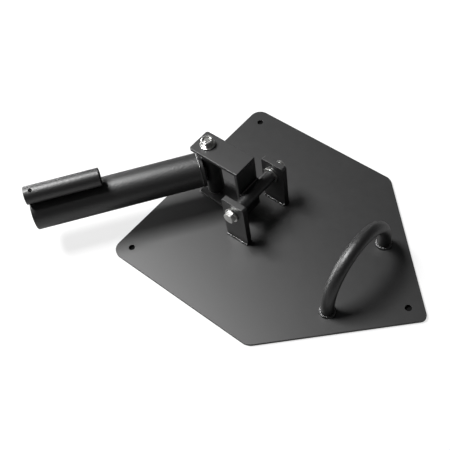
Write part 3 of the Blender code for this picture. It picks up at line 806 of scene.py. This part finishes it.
class TBAR_OT_base_welds(bpy.types.Operator):
    """Lay the weld beads along the lugs and round the handle's feet"""
    bl_idname = "tbar.base_welds"
    bl_label = "Base Welds"

    def execute(self, context):
        plate_top = Vector((0.0, 0.0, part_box("base_plate")[1].z))
        for side, hand in SIDES:
            self.lug_foot(context, plate_top, side, hand)
        for side, hand in SIDES:
            self.handle_foot(context, plate_top, side, hand)
        return {"FINISHED"}

    @staticmethod
    def lug_foot(context, plate_top, side, hand):
        sizes = context.scene.tbar_welds
        leg = sizes.plate_leg
        low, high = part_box(f"pivot_lug_{hand}")
        for place, way in (("outer", side), ("inner", -side)):
            face = high.x if way > 0 else low.x
            out = Vector((way, 0.0, 1.0)).normalized()
            middle = Vector((face, 0.0, plate_top.z)) + out * BEAD_RISE * leg
            start = Vector((middle.x, low.y + BEAD_INSET * leg, middle.z))
            end = Vector((middle.x, high.y - BEAD_INSET * leg, middle.z))
            welded(
                context, f"lug_weld_{hand}_{place}", "base", "lug", leg,
                straight(start, end, out, sizes.ripple),
                faces=[(plate_top, UP), (Vector((face, 0.0, 0.0)), Vector((way, 0.0, 0.0)))],
            )

    @staticmethod
    def handle_foot(context, plate_top, side, hand):
        sizes = context.scene.tbar_welds
        leg = sizes.handle_leg
        low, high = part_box("handle")
        radius = (high.y - low.y) / 2
        centre = Vector((side * (high.x - radius), (high.y + low.y) / 2, plate_top.z))
        stops = []
        for away, forward in once_round(radius + leg / 2, sizes.ripple):
            out = (away + UP).normalized()
            stops.append((centre + away * radius + out * BEAD_RISE * leg, forward, out))
        core = plug(radius + BEAD_CLEARANCE, -leg, 3 * leg, ROD_SIDES, at(*centre))
        welded(
            context, f"handle_weld_{hand}", "base", "handle", leg, stops, cores=[core],
            faces=[(plate_top, UP)],
        )


# The yoke

class TBAR_OT_yoke(bpy.types.Operator):
    """Make the yoke: its top plate, bottom plate, web and pivot tube"""
    bl_idname = "tbar.yoke"
    bl_label = "Yoke"

    def execute(self, context):
        sizes = context.scene.tbar_frame
        for _, end in ENDS:
            node = f"yoke_{end}_plate"
            low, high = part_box(f"yoke_{end}_plate")
            thick = high.z - low.z
            plate = cut_plate(
                f"finished_{node}", [(low.x, low.y), (high.x, low.y), (high.x, high.y), (low.x, high.y)],
                [sizes.yoke_corner, sizes.yoke_corner, 0.0, 0.0], thick, at(0.0, 0.0, low.z),
            )
            hole = plug(
                sizes.bolt_hole / 2, low.z - thick, high.z + thick, DRILL_SIDES, at(0.0, SWIVEL_Y, 0.0),
            )
            drilled(plate, hole)
            softened(plate, sizes.edge_radius)
            fitted(context, plate, node, "yoke", "coat")
        low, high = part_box("yoke_web")
        web = bmesh.new()
        bmesh.ops.create_cube(web, size=1.0)
        placed(web, at(*(low + high) / 2) @ Matrix.Diagonal((*(high - low), 1.0)))
        web = softened(solid(web, "finished_yoke_web"), sizes.edge_radius)
        fitted(context, web, "yoke_web", "yoke", "coat")
        low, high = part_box("pivot_tube")
        tube = cut_tube(
            "finished_pivot_tube", sizes.running_bore / 2, (high.z - low.z) / 2, low.x, high.x, TUBE_SIDES,
            along_pivot(0.0),
        )
        fitted(context, softened(tube, TUBE_EDGE), "pivot_tube", "yoke", "tube")
        return {"FINISHED"}


class TBAR_OT_yoke_welds(bpy.types.Operator):
    """Lay the weld beads in the yoke's corners and along the pivot tube"""
    bl_idname = "tbar.yoke_welds"
    bl_label = "Yoke Welds"

    def execute(self, context):
        for up, end in ENDS:
            self.corner(context, up, end)
            self.tube_side(context, up, end)
        return {"FINISHED"}

    @staticmethod
    def half_run(sizes):
        """Half of a bead's run across the web."""
        low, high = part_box("yoke_web")
        return Vector(((high.x - low.x) / 2 - BEAD_INSET * sizes.plate_leg, 0.0, 0.0))

    def corner(self, context, up, end):
        sizes = context.scene.tbar_welds
        leg = sizes.plate_leg
        across = self.half_run(sizes)
        web_front = Vector((0.0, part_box("yoke_web")[0].y, 0.0))
        low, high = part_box(f"yoke_{end}_plate")
        face = Vector((0.0, 0.0, low.z if up > 0 else high.z))
        out = Vector((0.0, -1.0, -up)).normalized()
        middle = web_front + face + out * BEAD_RISE * leg
        welded(
            context, f"yoke_weld_{end}", "yoke", "yoke", leg,
            straight(middle - across, middle + across, out, sizes.ripple),
            faces=[(web_front, Vector((0.0, -1.0, 0.0))), (face, Vector((0.0, 0.0, -up)))],
        )

    def tube_side(self, context, up, end):
        sizes = context.scene.tbar_welds
        across = self.half_run(sizes)
        low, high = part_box("pivot_tube")
        radius = (high.z - low.z) / 2
        lean = PIVOT_TUBE_BEAD_LEAN
        behind, above = PIVOT_TUBE_BEAD_PLACE
        out = Vector((0.0, math.cos(lean), up * math.sin(lean)))
        middle = Vector((0.0, behind * radius, PIVOT_HEIGHT + up * above * radius))
        web_back = Vector((0.0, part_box("yoke_web")[1].y, 0.0))
        welded(
            context, f"pivot_tube_weld_{end}", "yoke", "pivot tube", sizes.small_leg,
            straight(middle - across, middle + across, out, sizes.ripple),
            cores=[plug(radius + BEAD_CLEARANCE, low.x, high.x, TUBE_SIDES, along_pivot(0.0))],
            faces=[(web_back, Vector((0.0, 1.0, 0.0)))],
        )


# The bar sleeves

class TBAR_OT_sleeves(bpy.types.Operator):
    """Make the swivel bush, the end plate and the two bar sleeves"""
    bl_idname = "tbar.sleeves"
    bl_label = "Bar Sleeves"

    def execute(self, context):
        sizes = context.scene.tbar_sleeve
        low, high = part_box("swivel_bush")
        bore = context.scene.tbar_frame.running_bore / 2
        bush = cut_tube(
            "finished_swivel_bush", bore, (high.x - low.x) / 2, low.z, high.z, TUBE_SIDES,
            at(0.0, SWIVEL_Y, 0.0),
        )
        fitted(context, softened(bush, TUBE_EDGE), "swivel_bush", "sleeve", "tube")
        outer = sizes.diameter / 2
        seat = sizes.end_plate_start()
        lay = sizes.laid(sizes.rise)
        disc = plug(outer, seat, seat + sizes.end_plate, SLEEVE_SIDES, lay, "finished_sleeve_end_plate")
        fitted(context, softened(disc, END_PLATE_EDGE), "sleeve_end_plate", "sleeve", "coat")
        large = cut_tube(
            "finished_bar_sleeve", outer - sizes.wall, outer, sizes.start, sizes.reach, SLEEVE_SIDES, lay,
        )
        fitted(context, softened(large, SLEEVE_EDGE, segments=4), "bar_sleeve", "sleeve", "tube")
        self.small_sleeve(context, sizes)
        return {"FINISHED"}

    @staticmethod
    def small_sleeve(context, sizes):
        outer = sizes.small_diameter / 2
        small = cut_tube(
            "finished_small_bar_sleeve", outer - sizes.small_wall, outer, sizes.reach - sizes.small_length,
            sizes.reach, TUBE_SIDES, sizes.laid(sizes.small_rise),
        )
        upwards = Matrix.Rotation(math.radians(-90), 4, "X") @ Matrix.Rotation(sizes.screw_turn, 4, "Y")
        spot = sizes.laid(sizes.small_rise, sizes.reach - sizes.screw_inset)
        drilled(small, plug(sizes.screw_hole / 2, 0.0, 2 * outer, SCREW_HOLE_SIDES, spot @ upwards))
        softened(small, SMALL_SLEEVE_EDGE, segments=4)
        fitted(context, small, "small_bar_sleeve", "sleeve", "tube")


class TBAR_OT_sleeve_welds(bpy.types.Operator):
    """Lay the weld beads on the end plate, the bush and the small sleeve"""
    bl_idname = "tbar.sleeve_welds"
    bl_label = "Sleeve Welds"

    def execute(self, context):
        self.end_seam(context)
        for side, hand in SIDES:
            self.bush_side(context, side, hand)
        for side, hand in SIDES:
            self.groove(context, side, hand)
        return {"FINISHED"}

    @staticmethod
    def end_seam(context):
        """The bead round the seam between the end plate and the large sleeve."""
        sizes = context.scene.tbar_sleeve
        welds = context.scene.tbar_welds
        leg = welds.small_leg
        lay = sizes.laid()
        turning = lay.to_3x3()
        outer = sizes.diameter / 2
        seam = sizes.start - sizes.end_gap / 2
        stops = []
        for out, forward in once_round(outer, welds.ripple):
            point = lay @ (out * (outer - BEAD_SINK * leg) + Vector((0.0, sizes.rise, seam)))
            stops.append((point, turning @ forward, turning @ out))
        core = plug(outer + BEAD_CLEARANCE, seam - leg, seam + leg, SLEEVE_SIDES, sizes.laid(sizes.rise))
        welded(context, "sleeve_end_weld", "sleeve", "sleeve end", leg, stops, cores=[core])

    @staticmethod
    def bush_side(context, side, hand):
        """The upright bead between the bush and the end plate."""
        sizes = context.scene.tbar_sleeve
        welds = context.scene.tbar_welds
        lay = sizes.laid()
        turning = lay.to_3x3()
        low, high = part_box("swivel_bush")
        radius = (high.x - low.x) / 2
        away, back = BUSH_BEAD_OUT
        out = turning @ Vector((side * away, 0.0, back)).normalized()
        away, ahead = BUSH_BEAD_PLACE
        middle = Vector((side * away * radius, sizes.rise, ahead * radius))
        half_height = Vector((0.0, sizes.diameter / 4, 0.0))
        face = lay @ Vector((0.0, 0.0, sizes.end_plate_start()))
        welded(
            context, f"bush_weld_{hand}", "sleeve", "bush", welds.small_leg,
            straight(lay @ (middle - half_height), lay @ (middle + half_height), out, welds.ripple),
            cores=[plug(radius + BEAD_CLEARANCE, low.z, high.z, TUBE_SIDES, at(0.0, SWIVEL_Y, 0.0))],
            faces=[(face, turning @ Vector((0.0, 0.0, -1.0)))],
        )

    @staticmethod
    def groove(context, side, hand):
        """The two short beads in one groove between the two sleeves."""
        sizes = context.scene.tbar_sleeve
        welds = context.scene.tbar_welds
        leg = welds.small_leg
        lay = sizes.laid()
        out = lay.to_3x3() @ Vector((side, STITCH_LIFT, 0.0))
        touch = sizes.rise + sizes.diameter / 2
        middle = Vector((side * STITCH_SPREAD * leg, touch - BEAD_SINK * leg, 0.0))
        for place, start in (
            ("near", sizes.reach - sizes.small_length + welds.stitch_inset),
            ("far", sizes.reach - welds.stitch_inset - welds.stitch),
        ):
            first = lay @ (middle + Vector((0.0, 0.0, start + BEAD_INSET * leg)))
            last = lay @ (middle + Vector((0.0, 0.0, start + welds.stitch - BEAD_INSET * leg)))
            cores = [
                plug(across / 2 + BEAD_CLEARANCE, sizes.start, sizes.reach, sides, sizes.laid(rise))
                for across, rise, sides in (
                    (sizes.diameter, sizes.rise, SLEEVE_SIDES),
                    (sizes.small_diameter, sizes.small_rise, TUBE_SIDES),
                )
            ]
            welded(
                context, f"small_sleeve_weld_{hand}_{place}", "sleeve", "stitch", leg,
                straight(first, last, out, welds.ripple), cores=cores,
            )


# Bolts, nuts and washers

def chamfer_blank(sizes, height, both_ends):
    """The turned shape that takes the corners off a hexagon."""
    face = sizes.across_flats / 2 * HEX_FACE_SHARE
    corner = sizes.across_flats / math.sqrt(3) + HEX_MARGIN
    drop = (corner - face) * math.tan(HEX_CHAMFER)
    foot = [(0.0, 0.0), (face, 0.0), (corner, drop)] if both_ends else [(0.0, 0.0), (corner, 0.0)]
    return turned(foot + [(corner, height - drop), (face, height), (0.0, height)], TUBE_SIDES)


def bolt_shape(sizes, name, reach, lay):
    """A hexagon bolt about Z: its head is below z = 0 and its threaded shank runs up to z = reach."""
    head = hexagon(sizes.across_flats, sizes.head)
    head = solid(placed(head, lay @ at(0.0, 0.0, -sizes.head)), name)
    under = Matrix.Rotation(math.pi, 4, "X")
    blank = solid(placed(chamfer_blank(sizes, sizes.head, False), lay @ under), "blank")
    radius = sizes.bolt / 2
    root = radius - THREAD_DEPTH * sizes.pitch
    thread_end = reach - sizes.end_chamfer
    profile = [(0.0, -sizes.head / 2), (radius, -sizes.head / 2)]
    for k in range(THREAD_TURNS):
        low = thread_end - THREAD_TURNS * sizes.pitch + k * sizes.pitch
        profile += [(radius, low)] + [(root, low + height * sizes.pitch) for height in THREAD_ROOT]
    profile += [(radius, thread_end), (radius - sizes.end_chamfer, reach), (0.0, reach)]
    shank = solid(placed(turned(profile, BOLT_SIDES), lay), "shank")
    machined(head, (blank, "INTERSECT"), (shank, "UNION"))
    return softened(head, BOLT_EDGE, segments=2, angle=BOLT_EDGE_ANGLE)


def nut_shape(sizes, name, collar, lay):
    """A hexagon nut about Z from z = 0 up. A lock nut has a round collar on top."""
    body = solid(placed(hexagon(sizes.across_flats, sizes.nut), lay), name)
    blank = solid(placed(chamfer_blank(sizes, sizes.nut, True), lay), "blank")
    steps = [(blank, "INTERSECT")]
    top = sizes.nut + collar
    if collar > 0.0:
        radius = sizes.collar / 2
        curl = collar * COLLAR_CURL
        dome = [(radius - inward * curl, top - down * curl) for inward, down in COLLAR_CURVE]
        dome = turned([(0.0, sizes.nut / 2), (radius, sizes.nut / 2)] + dome + [(0.0, top)], TUBE_SIDES)
        steps.append((solid(placed(dome, lay), "collar"), "UNION"))
    bore = sizes.bolt / 2 + NUT_BORE_PLAY
    sink = sizes.countersink / 2
    depth = sink - bore
    cut = turned([
        (0.0, -NUT_OVERCUT), (sink + NUT_OVERCUT, -NUT_OVERCUT), (bore, depth), (bore, top - depth),
        (sink + NUT_OVERCUT, top + NUT_OVERCUT), (0.0, top + NUT_OVERCUT),
    ], TUBE_SIDES)
    steps.append((solid(placed(cut, lay), "bore"), "DIFFERENCE"))
    machined(body, *steps)
    return softened(body, NUT_EDGE, segments=2, angle=NUT_EDGE_ANGLE)


class TBAR_OT_fasteners(bpy.types.Operator):
    """Make the two bolts, their nuts and all the washers"""
    bl_idname = "tbar.fasteners"
    bl_label = "Bolts, Nuts and Washers"

    def execute(self, context):
        sizes = context.scene.tbar_fasteners
        self.pivot(context, sizes)
        low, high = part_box("swivel_bolt")
        seat = low.z + sizes.head
        made = bolt_shape(sizes, "finished_swivel_bolt", high.z - seat, at(0.0, SWIVEL_Y, seat))
        fitted(context, made, "swivel_bolt", "yoke", "zinc")
        low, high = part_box("swivel_nut")
        made = nut_shape(sizes, "finished_swivel_nut", 0.0, at(0.0, SWIVEL_Y, low.z))
        fitted(context, made, "swivel_nut", "yoke", "zinc")
        for node in ("washer_right", "washer_left", "thrust_washer_right", "thrust_washer_left"):
            self.washer(context, f"pivot_{node}", "base", 0)
        for node in ("washer", "thrust_washer_top", "thrust_washer_bottom"):
            self.washer(context, f"swivel_{node}", "yoke", 2)
        return {"FINISHED"}

    @staticmethod
    def pivot(context, sizes):
        """The pivot bolt, and its lock nut with the insert in the nut's collar."""
        low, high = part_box("pivot_bolt")
        seat = high.x - sizes.head
        made = bolt_shape(sizes, "finished_pivot_bolt", seat - low.x, along_pivot(seat, -1))
        fitted(context, made, "pivot_bolt", "base", "zinc")
        low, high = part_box("pivot_nut")
        lay = along_pivot(high.x, -1)
        collar = high.x - low.x - sizes.nut
        made = nut_shape(sizes, "finished_pivot_nut", collar, lay)
        fitted(context, made, "pivot_nut", "base", "zinc")
        bolt = sizes.bolt / 2
        insert = cut_tube(
            "lock_nut_insert", bolt + INSERT_PLAY, bolt + INSERT_WIDTH, sizes.nut - INSERT_FOOT,
            sizes.nut + collar - INSERT_SINK, BOLT_SIDES, lay,
        )
        fitted(context, softened(insert, INSERT_EDGE, segments=2), None, "base", "insert")

    @staticmethod
    def washer(context, node, body, axis):
        """A washer about the pivot axis (0) or the swivel axis (2)."""
        low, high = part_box(node)
        half = (high[axis] - low[axis]) / 2
        lay = at(*(low + high) / 2)
        if axis == 0:
            lay = lay @ Matrix.Rotation(math.radians(90), 4, "Y")
        hole = context.scene.tbar_frame.bolt_hole / 2
        disc = cut_tube(f"finished_{node}", hole, (high.y - low.y) / 2, -half, half, TUBE_SIDES, lay)
        fitted(context, softened(disc, WASHER_EDGE), node, body, "zinc")


# Floor, light and camera

def seen_directly(tree, reflected):
    """1 for camera rays, a share for rays off mirrors or through glass, 0 for light that falls on things."""
    rays = tree.nodes.new("ShaderNodeLightPath").outputs
    seen = rays["Is Camera Ray"]
    for kind in ("Is Glossy Ray", "Is Transmission Ray"):
        seen = maths(tree, "MAXIMUM", seen, maths(tree, "MULTIPLY", rays[kind], reflected))
    return seen


def outside_painted_hole_shade(sizes, tree, place):
    """0 on the shaded ground inside the anchor holes, 1 on the open floor."""
    nearest = None
    for x, y in sizes.hole_places():
        away = added(tree, "VectorMath", "Value", {0: place, 1: (x, y, 0.0)}, operation="DISTANCE")
        nearest = away if nearest is None else maths(tree, "MINIMUM", nearest, away)
    start, end = [sizes.hole_diameter * edge for edge in HOLE_SHADE]
    return ramped(tree, nearest, start, end, 0.0, 1.0)


class TBAR_OT_stage(bpy.types.Operator):
    """Set the pale floor, the soft lamps and the camera"""
    bl_idname = "tbar.stage"
    bl_label = "Floor, Light and Camera"

    def execute(self, context):
        settings = context.scene.tbar_stage
        self.floor(context, settings)
        self.world(context, settings)
        self.lamps(context, settings)
        self.camera(context, settings)
        context.scene.view_settings.view_transform = "Standard"
        return {"FINISHED"}

    @staticmethod
    def floor(context, settings):
        """A pale floor, lit as it looks to the camera, with painted shade inside the anchor holes and clear
        from below.
        """
        bm = bmesh.new()
        bmesh.ops.create_grid(bm, x_segments=8, y_segments=8, size=settings.floor_size / 2)
        floor = solid(placed(bm, at(0.0, 0.0, -FLOOR_DROP)), "floor", sheet=True)
        made, tree, shader, place = new_finish("pale floor")
        tone = noise(tree, place, scale=3.0, detail=3.0)
        tones = shades(tree, tone, [(0.3, scaled(settings.floor, 0.98)), (0.7, tuple(settings.floor))])
        # Painted shade: inside the anchor holes the floor turns near-black and loses its glow, standing in
        # for the shade under the plate
        outside_hole_shade = outside_painted_hole_shade(context.scene.tbar_plate, tree, place)
        ground = added(
            tree, "Mix", 2, {"Factor": outside_hole_shade, 6: HOLE_PAINTED_SHADE, 7: tones}, data_type="RGBA",
        )
        wired(tree, shader, {"Base Color": ground, "Roughness": 0.9, "Specular IOR Level": 0.1})
        away = added(tree, "VectorMath", "Value", {0: place}, operation="LENGTH")
        paleness = ramped(tree, away, *FLOOR_FADE, settings.floor_glow, 1.0, "SMOOTHSTEP")
        paleness = maths(tree, "MULTIPLY", seen_directly(tree, settings.reflected), paleness)
        paleness = maths(tree, "MULTIPLY", paleness, outside_hole_shade)
        glow = added(tree, "Emission", "Emission", {"Strength": paleness})
        lit = added(tree, "AddShader", "Shader", {0: shader.outputs["BSDF"], 1: glow})
        below = added(tree, "NewGeometry", "Backfacing")
        clear = added(tree, "BsdfTransparent", "BSDF")
        one_way = added(tree, "MixShader", "Shader", {"Fac": below, 1: lit, 2: clear})
        wired(tree, tree.nodes["Material Output"], {"Surface": one_way})
        floor.data.materials.append(made)

    @staticmethod
    def world(context, settings):
        """White to the camera, pale walls and ceiling in reflections, and a faint light from all round."""
        world = bpy.data.worlds.new("soft room")
        world.use_nodes = True
        tree = world.node_tree
        height = added(tree, "SeparateXYZ", "Z", {"Vector": added(tree, "TexCoord", "Generated")})
        walls = ramped(tree, height, *WALL_TOP, settings.walls, settings.ceiling, "SMOOTHSTEP")
        room = added(tree, "Mix", "Result", {
            "Factor": seen_directly(tree, 1.0), "A": settings.fill, "B": walls,
        }, data_type="FLOAT")
        white = maths(tree, "MAXIMUM", room, added(tree, "LightPath", "Is Camera Ray"))
        wired(tree, tree.nodes["Background"], {"Color": (1.0, 1.0, 1.0, 1.0), "Strength": white})
        context.scene.world = world

    @staticmethod
    def lamps(context, settings):
        """Soft rectangular lamps. Each is turned about its aim until its long side lies along a direction."""
        swing = context.scene.tbar_sleeve.swing
        across_sleeve = Vector((math.cos(swing), math.sin(swing), 0.0))
        along_front = Vector((1.0, 0.0, 0.0))
        key = (settings.key_length, settings.key_width)
        rim = (settings.rim_size, settings.rim_size)
        front = (FRONT_LENGTH * settings.front_size, settings.front_size)
        for name, place, (wide, tall), watts, along in (
            ("key", KEY_PLACE, key, settings.key_power, across_sleeve),
            ("rim", RIM_PLACE, rim, settings.rim_power, UP),
            ("front", FRONT_PLACE, front, settings.front_power, along_front),
        ):
            data = bpy.data.lights.new(name, "AREA")
            data.shape = "RECTANGLE"
            data.size = wide
            data.size_y = tall
            data.energy = watts
            lamp = bpy.data.objects.new(name, data)
            context.scene.collection.objects.link(lamp)
            back = (Vector(place) - Vector(LAMP_TARGET)).normalized()
            side = (along - back * along.dot(back)).normalized()
            lamp.matrix_world = at(*place) @ Matrix((side, back.cross(side), back)).transposed().to_4x4()

    @staticmethod
    def camera(context, settings):
        data = bpy.data.cameras.new("camera")
        data.sensor_width = 36.0
        data.lens = settings.focal
        data.clip_end = 20.0
        camera = bpy.data.objects.new("camera", data)
        context.scene.collection.objects.link(camera)
        spin = Vector(CAMERA_TURN)
        axes = Matrix.Rotation(spin.length, 3, spin.normalized())
        place = Matrix((axes[0], -axes[1], -axes[2])).transposed().to_4x4()
        place.translation = axes.transposed() @ Vector(CAMERA_SHIFT) + Vector(CAMERA_BASE)
        camera.matrix_world = place
        context.scene.camera = camera


GROUPS = {
    "tbar_plate": PlateSizes, "tbar_frame": FrameSizes, "tbar_sleeve": SleeveSizes,
    "tbar_fasteners": FastenerSizes, "tbar_welds": WeldSizes, "tbar_finishes": Finishes,
    "tbar_stage": StageSettings,
}

PIECE_OPERATORS = (
    TBAR_OT_base_plate, TBAR_OT_lugs, TBAR_OT_handle, TBAR_OT_base_welds, TBAR_OT_yoke, TBAR_OT_yoke_welds,
    TBAR_OT_sleeves, TBAR_OT_sleeve_welds, TBAR_OT_fasteners, TBAR_OT_stage,
)


class TBAR_PT_panel(bpy.types.Panel):
    """Lists the pieces of the attachment and their sizes in the sidebar"""
    bl_idname = "TBAR_PT_panel"
    bl_label = "T-Bar Row Attachment"
    bl_space_type = "VIEW_3D"
    bl_region_type = "UI"
    bl_category = "T-Bar"

    def draw(self, context):
        for operator in PIECE_OPERATORS:
            self.layout.operator(operator.bl_idname)
        for name in GROUPS:
            group = getattr(context.scene, name)
            box = self.layout.box()
            for key in group.__annotations__:
                box.prop(group, key)


def register():
    for group in GROUPS.values():
        bpy.utils.register_class(group)
    for operator in PIECE_OPERATORS:
        bpy.utils.register_class(operator)
    bpy.utils.register_class(TBAR_PT_panel)
    for name, group in GROUPS.items():
        setattr(bpy.types.Scene, name, PointerProperty(type=group))


def unregister():
    for name in GROUPS:
        delattr(bpy.types.Scene, name)
    bpy.utils.unregister_class(TBAR_PT_panel)
    for operator in reversed(PIECE_OPERATORS):
        bpy.utils.unregister_class(operator)
    for group in reversed(GROUPS.values()):
        bpy.utils.unregister_class(group)


def main():
    register()
    bpy.ops.tbar.base_plate()
    bpy.ops.tbar.lugs()
    bpy.ops.tbar.handle()
    bpy.ops.tbar.base_welds()
    bpy.ops.tbar.yoke()
    bpy.ops.tbar.yoke_welds()
    bpy.ops.tbar.sleeves()
    bpy.ops.tbar.sleeve_welds()
    bpy.ops.tbar.fasteners()
    bpy.ops.tbar.stage()


if __name__ == "__main__":
    main()
